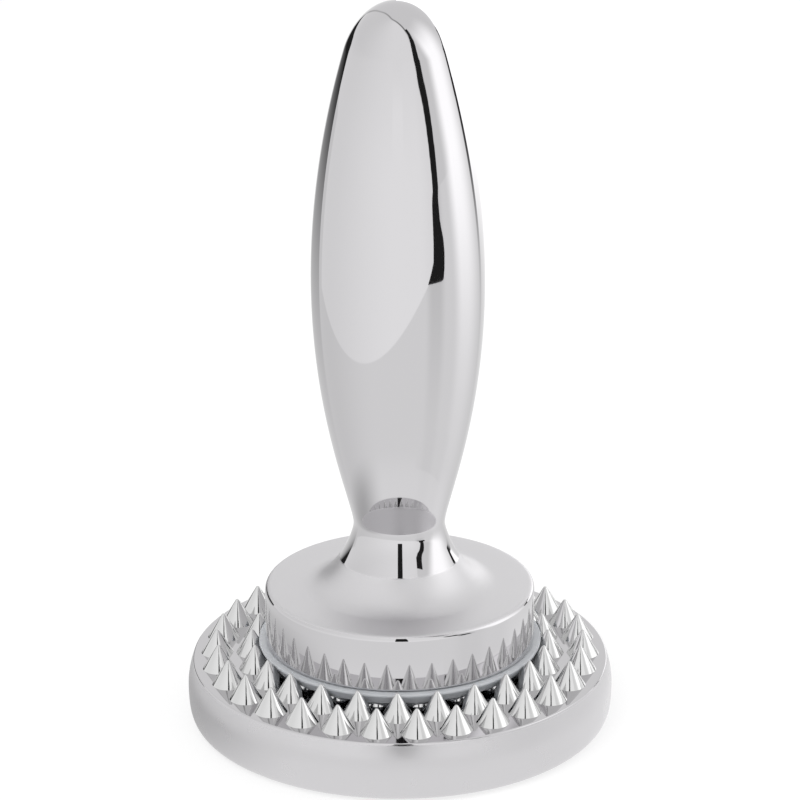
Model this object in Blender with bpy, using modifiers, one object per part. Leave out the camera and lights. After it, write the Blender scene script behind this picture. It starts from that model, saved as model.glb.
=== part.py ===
"""Meat mallet with a reversible head: a cast handle with a cupped hub screws on to a spiked disc.

The disc lies on z = 0 with its flat face down and its spikes up. The handle stands on it along +Z,
and every piece is turned about that axis. Lengths are in metres and angles in degrees.
"""

import math

import bmesh
import bpy

# Disc
DISC_RADIUS = 0.0449
DISC_THICKNESS = 0.0130
DISC_WIDEST_HEIGHT = 0.0071
FLAT_FACE_INSET = 0.0049
SPIKED_FACE_INSET = 0.0012

# Spikes, in rings that hold 12, 18, 24 and 30 of them
SPIKE_RADIUS = 0.0034
SPIKE_HEIGHT = 0.0053
SPIKE_TIP_RADIUS = 0.0003
SPIKE_SIDE_GAP = 0.0012
SPIKE_RING_GAP = 0.0006
SPIKE_HOLE_MARGIN = 0.0038
SPIKE_RIM_MARGIN = 0.0015
SPIKE_COUNT_STEP = 6
SPIKE_PHASE = -1.0

# Hub, a cup over the inner rings of spikes
HUB_RING_COUNT = 2
HUB_HEIGHT = 0.01195
HUB_WALL = 0.0020
HUB_RIM_OUTSET = 0.00074
HUB_EDGE_RADIUS = 0.0012
CUP_CORNER_RADIUS = 0.0008
CUP_HEADROOM = 0.0017
POST_WALL = 0.0032

# Handle
FOOT_RADIUS = 0.0204
NECK_RADIUS = 0.00955
NECK_HEIGHT = 0.01377
BELLY_RADIUS = 0.01776
BELLY_HEIGHT = 0.0524
SHOULDER_RADIUS = 0.01055
SHOULDER_HEIGHT = 0.0490
SHOULDER_LEAN = 16.4
CROWN_HEIGHT = 0.00970

# Gasket, a silicone ring in the valley between two rings of spikes
GASKET_STANDOFF = 0.00165
GASKET_FLANGE = 0.00235
GASKET_OUTSET = 0.00146
GASKET_LIP_WALL = 0.0009
GASKET_LIP_HEIGHT = 0.0022
GASKET_EDGE_RADIUS = 0.0003

# Stud and threaded insert
THREAD_RADIUS = 0.0060
THREAD_PITCH = 0.00175
STUD_TIP_RECESS = 0.0030
STUD_TIP_CHAMFER = 0.0016
STUD_SHANK_LENGTH = 0.0195
THREAD_RUNOUT = 0.0006
INSERT_WALL = 0.0027
INSERT_RECESS = 0.0002
INSERT_EDGE_CHAMFER = 0.0004

# Clearances: between seated pieces, and between the male and the female thread
SEAT_GAP = 0.0003
THREAD_GAP = 0.0003

# How far cutters and joined shapes run into or past what they cut or join
OVERRUN = 0.0004

# How far each stretch of an outline keeps the direction it leaves or arrives in, as shares of that stretch
FOOT_ALONG_HUB_SHARE = 0.55
FOOT_BELOW_NECK_SHARE = 0.23
ABOVE_NECK_SHARE = 0.083
BELOW_BELLY_SHARE = 0.56
ABOVE_BELLY_SHARE = 0.375
BELOW_SHOULDER_SHARE = 0.29
ABOVE_SHOULDER_SHARE = 0.41
CROWN_FLAT_SHARE = 0.55
DISC_SIDE_UP_SHARE = 0.41
DISC_RIM_SHARES = (0.35, 0.20)
DISC_SIDE_DOWN_SHARE = 0.95
DISC_FLOOR_SHARE = 0.82
THREAD_DEPTH_SHARE = 0.6134
THREAD_CREST_SHARE = 0.125
THREAD_ROOT_SHARE = 0.25
DRILL_POINT_SHARE = 0.6

# Facets round each kind of piece
BODY_SEGMENTS = 48
DISC_SEGMENTS = 64
SPIKE_SEGMENTS = 12
THREAD_SEGMENTS = 24
EDGE_STEPS = 3
MERGE_DISTANCE = 0.00001

# Heights and radii that follow from the sizes above
plate_height = DISC_THICKNESS
flat_face_radius = DISC_RADIUS - FLAT_FACE_INSET
spiked_face_radius = DISC_RADIUS - SPIKED_FACE_INSET
spike_tip_height = plate_height + SPIKE_HEIGHT
gasket_bottom = plate_height + GASKET_STANDOFF
gasket_top = gasket_bottom + GASKET_FLANGE
hub_bottom = gasket_top + SEAT_GAP
hub_top = hub_bottom + HUB_HEIGHT
cup_ceiling = spike_tip_height + CUP_HEADROOM
neck_top = hub_top + NECK_HEIGHT
belly_top = neck_top + BELLY_HEIGHT
shoulder_top = belly_top + SHOULDER_HEIGHT
crown_top = shoulder_top + CROWN_HEIGHT
thread_core_radius = THREAD_RADIUS - THREAD_DEPTH_SHARE * THREAD_PITCH
stud_hole_radius = THREAD_RADIUS + SEAT_GAP
post_radius = stud_hole_radius + POST_WALL
post_bottom = gasket_bottom
stud_top = post_bottom + STUD_SHANK_LENGTH
insert_radius = THREAD_RADIUS + THREAD_GAP + INSERT_WALL
insert_hole_radius = insert_radius + SEAT_GAP
inner_ring_radius = insert_hole_radius + SPIKE_HOLE_MARGIN + SPIKE_RADIUS
outer_ring_limit = spiked_face_radius - SPIKE_RIM_MARGIN - SPIKE_RADIUS
spike_ring_pitch = 2 * SPIKE_RADIUS + SPIKE_RING_GAP
spike_ring_count = math.floor((outer_ring_limit - inner_ring_radius) / spike_ring_pitch) + 1


def spike_ring_radius(ring):
    """Radius of the circle that a ring's spikes stand on; ring 0 is the one round the insert."""
    return inner_ring_radius + ring * spike_ring_pitch


def spikes_in_ring(ring):
    """How many spikes a ring holds: as many whole steps as fit on its circle, a gap apart."""
    spacing = 2 * SPIKE_RADIUS + SPIKE_SIDE_GAP
    steps = math.floor(math.tau * spike_ring_radius(ring) / (SPIKE_COUNT_STEP * spacing))
    return SPIKE_COUNT_STEP * steps


# The gasket lies midway between the two rings that the hub's edge comes down between
valley_inner_ring = spike_ring_radius(HUB_RING_COUNT - 1)
valley_outer_ring = spike_ring_radius(HUB_RING_COUNT)
valley_radius = (valley_inner_ring + valley_outer_ring) / 2
hub_radius = valley_radius + HUB_RIM_OUTSET
cup_radius = hub_radius - HUB_WALL


def start_clean():
    """Remove what the scene holds."""
    for thing in list(bpy.data.objects):
        bpy.data.objects.remove(thing, do_unlink=True)


def new_collection(name):
    collection = bpy.data.collections.new(name)
    bpy.context.scene.collection.children.link(collection)
    return collection


def new_material(name, colour, roughness, metallic):
    """A Principled material of one colour."""
    material = bpy.data.materials.new(name)
    material.use_nodes = True
    shader = material.node_tree.nodes["Principled BSDF"]
    shader.inputs["Base Color"].default_value = (*colour, 1.0)
    shader.inputs["Roughness"].default_value = roughness
    shader.inputs["Metallic"].default_value = metallic
    return material


def new_object(name, mesh, collection, material=None):
    """An object at the origin, which lies on the axis that the handle turns about."""
    thing = bpy.data.objects.new(name, mesh)
    collection.objects.link(thing)
    if material:
        mesh.materials.append(material)
    return thing


def bezier(start, leave, arrive, end, steps):
    """Points of a cubic Bezier stretch, without its start, in (radius, height) pairs."""
    points = []
    for i in range(1, steps + 1):
        t = i / steps
        weights = ((1 - t) ** 3, 3 * t * (1 - t) ** 2, 3 * t * t * (1 - t), t ** 3)
        points.append(tuple(sum(w * p[k] for w, p in zip(weights, (start, leave, arrive, end)))
                            for k in range(2)))
    return points


def rounded(corner, before, after, radius, steps=EDGE_STEPS):
    """An arc of this radius in place of a corner, tangent to the lines to the points before and after it."""
    to_before = [b - c for b, c in zip(before, corner)]
    to_after = [a - c for a, c in zip(after, corner)]
    unit_before = [v / math.hypot(*to_before) for v in to_before]
    unit_after = [v / math.hypot(*to_after) for v in to_after]
    half_angle = math.acos(sum(a * b for a, b in zip(unit_before, unit_after))) / 2
    setback = radius / math.tan(half_angle)
    middle = [a + b for a, b in zip(unit_before, unit_after)]
    reach = radius / math.sin(half_angle) / math.hypot(*middle)
    centre = [c + m * reach for c, m in zip(corner, middle)]
    first = [c + u * setback - m for c, u, m in zip(corner, unit_before, centre)]
    last = [c + u * setback - m for c, u, m in zip(corner, unit_after, centre)]
    sweep = math.pi - 2 * half_angle
    points = []
    for i in range(steps + 1):
        t = i / steps
        a, b = math.sin((1 - t) * sweep) / math.sin(sweep), math.sin(t * sweep) / math.sin(sweep)
        points.append(tuple(m + a * f + b * g for m, f, g in zip(centre, first, last)))
    return points


def turned(name, outline, segments, collection, material=None, ring=False):
    """A solid turned about Z from an outline that runs down its outer side; a ring's outline is a loop."""
    mesh = bpy.data.meshes.new(name)
    edges = [(i, i + 1) for i in range(len(outline) - 1)]
    if ring:
        edges.append((len(outline) - 1, 0))
    mesh.from_pydata([(radius, 0, height) for radius, height in outline], edges, [])
    thing = new_object(name, mesh, collection, material)
    screw = thing.modifiers.new("Turn", "SCREW")
    screw.steps = segments
    screw.render_steps = segments
    screw.use_merge_vertices = True
    screw.merge_threshold = MERGE_DISTANCE
    screw.use_normal_calculate = False
    screw.use_smooth_shade = True
    return thing


def join(thing, other, operation):
    """A Boolean modifier of this operation with another object."""
    boolean = thing.modifiers.new(operation.title(), "BOOLEAN")
    boolean.operation = operation
    boolean.object = other
    boolean.solver = "EXACT"


def weld_cuts(thing):
    """Merge the doubled points that a Boolean leaves where a cut runs through an edge."""
    weld = thing.modifiers.new("Weld", "WELD")
    weld.merge_threshold = MERGE_DISTANCE


def as_cutter(thing):
    """Mark a helper shape as one that only cuts, or is only joined to, a piece."""
    thing.hide_render = True
    thing.display_type = "WIRE"
    return thing


def threaded_rod(name, radius, core_radius, bottom, top, collection):
    """A rod with a right-hand thread: one pitch of the flanks, screwed up the axis and closed at its ends.

    The first thread starts a whole number of pitches from z = 0, so every rod is in mesh with every other.
    """
    first = math.floor(bottom / THREAD_PITCH) - 1
    last = math.ceil(top / THREAD_PITCH) + 1
    root = THREAD_ROOT_SHARE * THREAD_PITCH / 2
    crest = THREAD_CREST_SHARE * THREAD_PITCH / 2
    middle = THREAD_PITCH / 2
    flanks = [
        (core_radius, THREAD_PITCH),
        (core_radius, THREAD_PITCH - root),
        (radius, middle + crest),
        (radius, middle - crest),
        (core_radius, root),
        (core_radius, 0),
    ]
    mesh = bpy.data.meshes.new(name + "_flanks")
    start = first * THREAD_PITCH
    edges = [(i, i + 1) for i in range(len(flanks) - 1)]
    mesh.from_pydata([(r, 0, start + z) for r, z in flanks], edges, [])
    winding = new_object(name + "_flanks", mesh, collection)
    screw = winding.modifiers.new("Thread", "SCREW")
    screw.steps = THREAD_SEGMENTS
    screw.render_steps = THREAD_SEGMENTS
    screw.iterations = last - first
    screw.screw_offset = THREAD_PITCH
    screw.use_merge_vertices = True
    screw.merge_threshold = MERGE_DISTANCE
    screw.use_normal_calculate = False

    evaluated = winding.evaluated_get(bpy.context.evaluated_depsgraph_get())
    rod_mesh = bpy.data.meshes.new_from_object(evaluated)
    bpy.data.objects.remove(winding, do_unlink=True)
    shape = bmesh.new()
    shape.from_mesh(rod_mesh)
    bmesh.ops.remove_doubles(shape, verts=shape.verts[:], dist=MERGE_DISTANCE)
    ends = bmesh.ops.holes_fill(shape, edges=[e for e in shape.edges if e.is_boundary], sides=0)["faces"]
    bmesh.ops.poke(shape, faces=ends)
    bmesh.ops.recalc_face_normals(shape, faces=shape.faces[:])
    shape.to_mesh(rod_mesh)
    shape.free()
    return new_object(name, rod_mesh, collection)


def handle_outline():
    """The handle from its crown down to the hub, then up inside the cup and down round the stud's hole."""
    lean = math.radians(SHOULDER_LEAN)
    neck = (NECK_RADIUS, neck_top)
    belly = (BELLY_RADIUS, belly_top)
    shoulder = (SHOULDER_RADIUS, shoulder_top)
    crown = (0, crown_top)
    foot = (FOOT_RADIUS, hub_top)
    rise = CROWN_HEIGHT * ABOVE_SHOULDER_SHARE
    fall = SHOULDER_HEIGHT * BELOW_SHOULDER_SHARE
    points = [crown]
    points += bezier(
        crown,
        (SHOULDER_RADIUS * CROWN_FLAT_SHARE, crown_top),
        (SHOULDER_RADIUS - rise * math.sin(lean), shoulder_top + rise * math.cos(lean)),
        shoulder, 6)
    points += bezier(
        shoulder,
        (SHOULDER_RADIUS + fall * math.sin(lean), shoulder_top - fall * math.cos(lean)),
        (BELLY_RADIUS, belly_top + SHOULDER_HEIGHT * ABOVE_BELLY_SHARE),
        belly, 6)
    points += bezier(
        belly,
        (BELLY_RADIUS, belly_top - BELLY_HEIGHT * BELOW_BELLY_SHARE),
        (NECK_RADIUS, neck_top + BELLY_HEIGHT * ABOVE_NECK_SHARE),
        neck, 8)
    points += bezier(
        neck,
        (NECK_RADIUS, neck_top - NECK_HEIGHT * FOOT_BELOW_NECK_SHARE),
        (FOOT_RADIUS - (FOOT_RADIUS - NECK_RADIUS) * FOOT_ALONG_HUB_SHARE, hub_top),
        foot, 6)

    edge = (hub_radius, hub_top)
    rim = (hub_radius, hub_bottom)
    rim_inside = (cup_radius, hub_bottom)
    cup_corner = (cup_radius, cup_ceiling)
    post_corner = (post_radius, cup_ceiling)
    points += rounded(edge, foot, rim, HUB_EDGE_RADIUS, 4)
    points += [rim, rim_inside]
    points += rounded(cup_corner, rim_inside, post_corner, CUP_CORNER_RADIUS)
    points += [
        post_corner,
        (post_radius, post_bottom),
        (stud_hole_radius, post_bottom),
        (stud_hole_radius, stud_top + SEAT_GAP),
        (0, stud_top + SEAT_GAP + stud_hole_radius * DRILL_POINT_SHARE),
    ]
    return points


def make_handle(collection, material):
    """Handle and hub, cast in one."""
    return turned("handle", handle_outline(), BODY_SEGMENTS, collection, material)


def spike_flank_radius(height):
    """Radius of a spike at a height above the plate, grown by the gap that its neighbours keep to its flank."""
    slope = SPIKE_RADIUS / SPIKE_HEIGHT
    return SPIKE_RADIUS - slope * height + SEAT_GAP * math.hypot(1, slope)


def make_gasket(collection, material):
    """A ring with a flange under the hub's rim, drawn in below to fit between the spikes, and a lip in the cup."""
    lip_outside = cup_radius - SEAT_GAP
    lip_inside = lip_outside - GASKET_LIP_WALL
    lip_top = gasket_top + GASKET_LIP_HEIGHT
    flange_radius = hub_radius + GASKET_OUTSET
    inner_toe = (valley_inner_ring + spike_flank_radius(GASKET_STANDOFF), gasket_bottom)
    outer_toe = (valley_outer_ring - spike_flank_radius(GASKET_STANDOFF), gasket_bottom)
    slope = SPIKE_HEIGHT / SPIKE_RADIUS
    inner_knee = (lip_inside, gasket_bottom + (inner_toe[0] - lip_inside) * slope)
    outer_knee = (flange_radius, gasket_bottom + (flange_radius - outer_toe[0]) * slope)
    flange_edge = (flange_radius, gasket_top)
    lip_foot = (lip_outside, gasket_top)
    lip_edge = (lip_outside, lip_top)
    lip_inner_edge = (lip_inside, lip_top)
    outline = [lip_edge, lip_foot]
    outline += rounded(flange_edge, lip_foot, outer_knee, GASKET_EDGE_RADIUS / 2)
    outline += [outer_knee]
    outline += rounded(outer_toe, outer_knee, inner_toe, GASKET_EDGE_RADIUS)
    outline += rounded(inner_toe, outer_toe, inner_knee, GASKET_EDGE_RADIUS)
    outline += [inner_knee, lip_inner_edge]
    return turned("gasket", outline, BODY_SEGMENTS, collection, material, ring=True)


def disc_outline():
    """Half section of the disc: its spiked face, its bulging side, its flat face and the insert's hole."""
    spiked_edge = (spiked_face_radius, plate_height)
    widest = (DISC_RADIUS, DISC_WIDEST_HEIGHT)
    flat_edge = (flat_face_radius, 0)
    above = plate_height - DISC_WIDEST_HEIGHT
    out, down = DISC_RIM_SHARES
    points = [(insert_hole_radius, plate_height), spiked_edge]
    points += bezier(
        spiked_edge,
        (spiked_face_radius + SPIKED_FACE_INSET * out, plate_height - above * down),
        (DISC_RADIUS, DISC_WIDEST_HEIGHT + above * DISC_SIDE_UP_SHARE),
        widest, 4)
    points += bezier(
        widest,
        (DISC_RADIUS, DISC_WIDEST_HEIGHT * (1 - DISC_SIDE_DOWN_SHARE)),
        (flat_face_radius + FLAT_FACE_INSET * DISC_FLOOR_SHARE, 0),
        flat_edge, 7)
    points.append((insert_hole_radius, 0))
    return points


def make_spikes(collection):
    """Blunt cones in rings, every other ring turned by half a step, rooted a little below the plate."""
    slope = SPIKE_RADIUS / SPIKE_HEIGHT
    shape = bmesh.new()
    for ring in range(spike_ring_count):
        count = spikes_in_ring(ring)
        offset = ring % 2 / 2
        for i in range(count):
            angle = math.tau * (i + offset) / count + math.radians(SPIKE_PHASE)
            cone = bmesh.ops.create_cone(
                shape, cap_ends=True, segments=SPIKE_SEGMENTS,
                radius1=SPIKE_RADIUS + slope * OVERRUN, radius2=SPIKE_TIP_RADIUS,
                depth=SPIKE_HEIGHT + OVERRUN)["verts"]
            place = (
                spike_ring_radius(ring) * math.sin(angle),
                -spike_ring_radius(ring) * math.cos(angle),
                plate_height + (SPIKE_HEIGHT - OVERRUN) / 2,
            )
            bmesh.ops.translate(shape, verts=cone, vec=place)
    mesh = bpy.data.meshes.new("spikes")
    shape.to_mesh(mesh)
    shape.free()
    return as_cutter(new_object("spikes", mesh, collection))


def make_disc(collection, cutters, material):
    """The striking disc, with its spikes cast on."""
    disc = turned("disc", disc_outline(), DISC_SEGMENTS, collection, material, ring=True)
    join(disc, make_spikes(cutters), "UNION")
    weld_cuts(disc)
    return disc


def make_insert(collection, cutters, material):
    """The threaded insert in the disc, countersunk at both mouths so that the stud starts from either side."""
    top = plate_height - INSERT_RECESS
    bottom = INSERT_RECESS
    chamfer = INSERT_EDGE_CHAMFER
    outline = [
        (0, top),
        (insert_radius - chamfer, top),
        (insert_radius, top - chamfer),
        (insert_radius, bottom + chamfer),
        (insert_radius - chamfer, bottom),
        (0, bottom),
    ]
    insert = turned("thread_insert", outline, BODY_SEGMENTS, collection, material)
    female_radius = THREAD_RADIUS + THREAD_GAP
    thread = threaded_rod(
        "insert_thread", female_radius, thread_core_radius + THREAD_GAP, bottom, top, cutters)
    join(insert, as_cutter(thread), "DIFFERENCE")
    depth = female_radius - thread_core_radius
    mouth = female_radius + OVERRUN
    core = mouth - depth - OVERRUN
    for name, face, inward in (("top_mouth", top, -1), ("flat_mouth", bottom, 1)):
        deep = (0, face + inward * (depth + OVERRUN))
        narrow = (core, face + inward * (depth + OVERRUN))
        wide = (mouth + OVERRUN, face - inward * OVERRUN)
        outside = (0, face - inward * OVERRUN)
        cone = [outside, wide, narrow, deep]
        if inward > 0:
            cone.reverse()
        join(insert, as_cutter(turned(name, cone, BODY_SEGMENTS, cutters)), "DIFFERENCE")
    weld_cuts(insert)
    return insert


def make_stud(collection, cutters, material):
    """The stud: a plain shank held in the handle, and a thread with a chamfered tip below it."""
    thread_top = post_bottom - THREAD_RUNOUT
    tip = STUD_TIP_RECESS
    chamfer = STUD_TIP_CHAMFER
    blank = [
        (0, stud_top),
        (THREAD_RADIUS - chamfer / 2, stud_top),
        (THREAD_RADIUS, stud_top - chamfer / 2),
        (THREAD_RADIUS, thread_top),
        (thread_core_radius - 2 * OVERRUN, thread_top - 2 * OVERRUN),
        (0, thread_top - 2 * OVERRUN),
    ]
    stud = turned("stud", blank, THREAD_SEGMENTS, collection, material)
    envelope = [
        (0, thread_top + OVERRUN),
        (thread_core_radius - OVERRUN, thread_top + OVERRUN),
        (THREAD_RADIUS + OVERRUN, thread_top - THREAD_PITCH / 2),
        (THREAD_RADIUS + OVERRUN, tip + chamfer + OVERRUN),
        (THREAD_RADIUS - chamfer, tip),
        (0, tip),
    ]
    thread = threaded_rod("stud_thread", THREAD_RADIUS, thread_core_radius, tip, thread_top, cutters)
    join(thread, as_cutter(turned("stud_envelope", envelope, BODY_SEGMENTS, cutters)), "INTERSECT")
    join(stud, as_cutter(thread), "UNION")
    weld_cuts(stud)
    return stud


def make_axis(name, collection, parent=None):
    """An empty on the turning axis, for the pieces that move together."""
    empty = bpy.data.objects.new(name, None)
    empty.empty_display_size = hub_radius
    collection.objects.link(empty)
    empty.parent = parent
    return empty


def shade(thing):
    """Smooth shading with crisp edges at corners."""
    thing.data.shade_smooth()
    thing.data.set_sharp_from_angle(angle=math.radians(30))


def main():
    start_clean()
    pieces = new_collection("meat_mallet")
    cutters = new_collection("cutters")
    polished = new_material("polished_steel", (0.79, 0.79, 0.80), 0.06, 1.0)
    silicone = new_material("grey_silicone", (0.38, 0.41, 0.44), 0.40, 0.0)
    machined = new_material("machined_steel", (0.62, 0.62, 0.63), 0.25, 1.0)

    disc = make_disc(pieces, cutters, polished)
    insert = make_insert(pieces, cutters, machined)
    insert.parent = disc
    lift_axis = make_axis("lift_axis", pieces)
    turn_axis = make_axis("turn_axis", pieces, lift_axis)
    gasket = make_gasket(pieces, silicone)
    gasket.parent = lift_axis
    handle = make_handle(pieces, polished)
    handle.parent = turn_axis
    stud = make_stud(pieces, cutters, machined)
    stud.parent = turn_axis
    for thing in (disc, insert, gasket, handle, stud):
        shade(thing)


main()
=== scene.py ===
# %% [markdown]
# # A reversible meat mallet in polished steel
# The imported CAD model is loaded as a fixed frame: it gives every piece its place and the body it moves
# with. Its round pieces are facetted, and a mirror finish would show each facet, so this script turns
# the same shapes again with smooth surfaces, gives them their finishes, and builds the small studio
# that polished steel needs to look like steel.

# %% Load the frame
import math

import bmesh
import bpy
import numpy as np
from mathutils import Matrix, Vector


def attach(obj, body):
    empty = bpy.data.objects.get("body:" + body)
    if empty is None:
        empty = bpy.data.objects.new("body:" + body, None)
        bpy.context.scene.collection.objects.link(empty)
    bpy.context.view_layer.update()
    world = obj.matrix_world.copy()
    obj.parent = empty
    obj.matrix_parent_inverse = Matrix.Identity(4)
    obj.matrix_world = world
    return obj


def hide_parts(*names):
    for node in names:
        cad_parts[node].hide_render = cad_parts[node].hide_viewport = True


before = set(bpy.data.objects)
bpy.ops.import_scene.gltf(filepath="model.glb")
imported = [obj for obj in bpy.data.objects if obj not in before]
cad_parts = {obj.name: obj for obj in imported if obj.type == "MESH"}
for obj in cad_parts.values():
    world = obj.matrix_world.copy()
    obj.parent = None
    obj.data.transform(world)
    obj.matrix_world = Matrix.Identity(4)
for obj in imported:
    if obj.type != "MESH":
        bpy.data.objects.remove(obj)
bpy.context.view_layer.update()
print("CAD nodes:", ", ".join(sorted(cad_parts)))

# %% [markdown]
# ## Surfaces from grids
# Every piece here is round, so a lathe is the natural tool. A lathe could be Blender's Screw modifier
# on a drawn outline, but a grid of points that numpy works out needs no modifier, gives exact control
# of where the rows lie close together, and can also hold a thread, whose radius changes round the axis.

# %% Faces between the points of a grid
def grid_faces(rows, columns, loop_rows):
    """Four-sided faces between neighbours of a grid: row i and column j meet row i+1 and column j+1.

    Columns go round the axis and always close; rows close too where the outline is a loop.
    """
    index = np.arange(rows * columns).reshape(rows, columns)
    below = np.roll(index, -1, axis=0)
    if not loop_rows:
        index, below = index[:-1], below[:-1]
    corners = (index, below, np.roll(below, -1, axis=1), np.roll(index, -1, axis=1))
    return np.stack(corners, axis=-1).reshape(-1, 4)


def signed_volume(points, faces):
    """Sum over the faces of a dot (b cross c) / 6 for their two triangles: positive if they face outwards."""
    a, b, c, d = (points[faces[:, k]] for k in range(4))
    halves = np.einsum("ij,ij->i", a, np.cross(b, c)) + np.einsum("ij,ij->i", a, np.cross(c, d))
    return halves.sum() / 6


# %% Turn an outline about the axis
def around(radius, turn, height):
    """x = r sin t, y = -r cos t, z = height: t is 0 in front, towards the camera, and grows to the right."""
    return np.stack(np.broadcast_arrays(radius * np.sin(turn), -radius * np.cos(turn), height), axis=-1)


def lathe(outline, sides, loop=False):
    """Grid of a turned surface, with t once round.

    outline holds all radii and all heights; its radius may also have a column for every side.
    """
    turn = np.linspace(0, math.tau, sides, endpoint=False)
    radius, height = outline
    radius = np.asarray(radius, float).reshape(len(height), -1)
    points = around(radius, turn, np.asarray(height, float)[:, None]).reshape(-1, 3)
    faces = grid_faces(len(height), sides, loop)
    if signed_volume(points, faces) < 0:
        faces = faces[:, ::-1]
    return points, faces


# %% Put one or more closed shells into an object
def make_piece(name, shells, body, nodes, finishes, finish_of_shell=None, sharp_angle=35):
    """A mesh object from shells of (points, faces), with doubled points at the poles merged."""
    starts = np.cumsum([0] + [len(points) for points, _ in shells])
    points = np.concatenate([shell[0] for shell in shells])
    faces = np.concatenate([shell[1] + start for shell, start in zip(shells, starts)])
    mesh = bpy.data.meshes.new(name)
    mesh.from_pydata(points.tolist(), [], faces.tolist())
    for finish in finishes:
        mesh.materials.append(finish)
    if finish_of_shell:
        counts = [len(shell[1]) for shell in shells]
        mesh.polygons.foreach_set("material_index", np.repeat(finish_of_shell, counts).astype(np.int32))
    shape = bmesh.new()
    shape.from_mesh(mesh)
    bmesh.ops.remove_doubles(shape, verts=shape.verts[:], dist=1e-7)
    shape.to_mesh(mesh)
    shape.free()
    mesh.shade_smooth()
    mesh.set_sharp_from_angle(angle=math.radians(sharp_angle))
    piece = bpy.data.objects.new(name, mesh)
    bpy.context.scene.collection.objects.link(piece)
    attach(piece, body)
    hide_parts(*nodes)
    low, high = points.min(0) * 1000, points.max(0) * 1000
    print(f"{name}: {len(mesh.polygons)} faces, from {low.round(1)} to {high.round(1)} mm")


# %% [markdown]
# ## Curved outlines
# The handle's outline is four cubic Bezier stretches, as in the CAD model, that meet with one direction
# at the shoulder, the belly, the neck and the foot. The corners of the hub and the ring are arcs.

# %% Bezier stretches and rounded corners
def bezier(start, leave, arrive, end, steps):
    """(1-t)^3 start + 3t(1-t)^2 leave + 3t^2(1-t) arrive + t^3 end, without its first point."""
    t = np.linspace(0, 1, steps + 1)[1:, None]
    weights = ((1 - t) ** 3, 3 * t * (1 - t) ** 2, 3 * t * t * (1 - t), t ** 3)
    return sum(weight * np.array(point) for weight, point in zip(weights, (start, leave, arrive, end)))


def rounded(corner, before, after, radius, steps):
    """An arc in place of a corner: its centre lies on the bisector, at radius / sin(half the corner)."""
    corner = np.array(corner, float)
    sides = [(np.array(p) - corner) / np.linalg.norm(np.array(p) - corner) for p in (before, after)]
    half = math.acos(np.dot(*sides)) / 2
    middle = (sides[0] + sides[1]) / np.linalg.norm(sides[0] + sides[1])
    centre = corner + middle * radius / math.sin(half)
    first, last = (corner + side * radius / math.tan(half) - centre for side in sides)
    sweep = math.pi - 2 * half
    t = np.linspace(0, 1, steps + 1)[:, None]
    return centre + (np.sin((1 - t) * sweep) * first + np.sin(t * sweep) * last) / math.sin(sweep)


def straight(start, end, steps):
    """start + t (end - start), without its first point."""
    t = np.linspace(0, 1, steps + 1)[1:, None]
    return np.array(start) + t * (np.array(end, float) - np.array(start))


# %% [markdown]
# ## Sizes
# Metres, the same as the CAD source's, because this script reads nothing but the frame.

# %% Heights and radii of the disc, the ring and the hub
PLATE_HEIGHT = 0.0130
DISC_RADIUS, WIDEST_HEIGHT = 0.0449, 0.0071
FLAT_FACE_RADIUS, SPIKED_FACE_RADIUS = 0.0400, 0.0437
INSERT_HOLE_RADIUS = 0.0093
RING_BOTTOM, RING_TOP = 0.01465, 0.0170
HUB_BOTTOM, HUB_TOP = 0.0173, 0.02925
HUB_RADIUS, CUP_RADIUS, CUP_CEILING = 0.02834, 0.02634, 0.0200
POST_RADIUS, STUD_HOLE_RADIUS, STUD_TOP = 0.0095, 0.0063, 0.03415
FOOT_RADIUS, NECK_RADIUS, BELLY_RADIUS, SHOULDER_RADIUS = 0.0204, 0.00955, 0.01776, 0.01055
NECK_TOP, BELLY_TOP, SHOULDER_TOP, CROWN_TOP = 0.04302, 0.09542, 0.14442, 0.15412
SHOULDER_LEAN = math.radians(16.4)
HUB_EDGE_ROUND, CUP_ROUND, DISC_EDGE_ROUND, HOLE_CLEARANCE = 0.0012, 0.0008, 0.0004, 0.0003
ROUND_SIDES, DISC_SIDES, SPIKE_SIDES = 224, 256, 40
print("handle and hub:", round((CROWN_TOP - HUB_BOTTOM) * 1000, 1), "mm tall")

# %% [markdown]
# ## Finishes
# The real mallet is cast and polished steel. Its handle, the hub's side, the spikes and the flat face
# are mirror bright; the hub's top and the disc's side are satin. One flat roughness would look
# like plastic chrome, so each finish has a little waviness, wear or turning marks at its real scale,
# from Object coordinates, which stay with the piece when it moves. A polished steel mirror returns
# about 60% of the light, a little less in green.

# %% A new steel material and its nodes
STEEL_COLOUR = (0.600, 0.592, 0.605, 1.0)


def add_node(tree, kind, settings=(), **inputs):
    """A shader node with its settings and the values or links of its inputs, by input name."""
    made = tree.nodes.new(kind)
    for name, value in settings:
        setattr(made, name, value)
    for name, value in inputs.items():
        socket = made.inputs[name.replace("_", " ")]
        if isinstance(value, bpy.types.NodeSocket):
            tree.links.new(value, socket)
        else:
            socket.default_value = value
    return made


def math_node(tree, operation, first, second):
    """The value of one arithmetic step."""
    made = tree.nodes.new("ShaderNodeMath")
    made.operation = operation
    for socket, value in zip(made.inputs, (first, second)):
        if isinstance(value, bpy.types.NodeSocket):
            tree.links.new(value, socket)
        else:
            socket.default_value = value
    return made.outputs[0]


def between(tree, value, low, high, at_low=0.0, at_high=1.0):
    """A smooth step from at_low, where value is low, to at_high, where it is high; low may be the larger."""
    made = add_node(tree, "ShaderNodeMapRange", [("interpolation_type", "SMOOTHSTEP")])
    tree.links.new(value, made.inputs["Value"])
    for name, number in (("From Min", low), ("From Max", high), ("To Min", at_low), ("To Max", at_high)):
        made.inputs[name].default_value = number
    return made.outputs["Result"]


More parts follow.
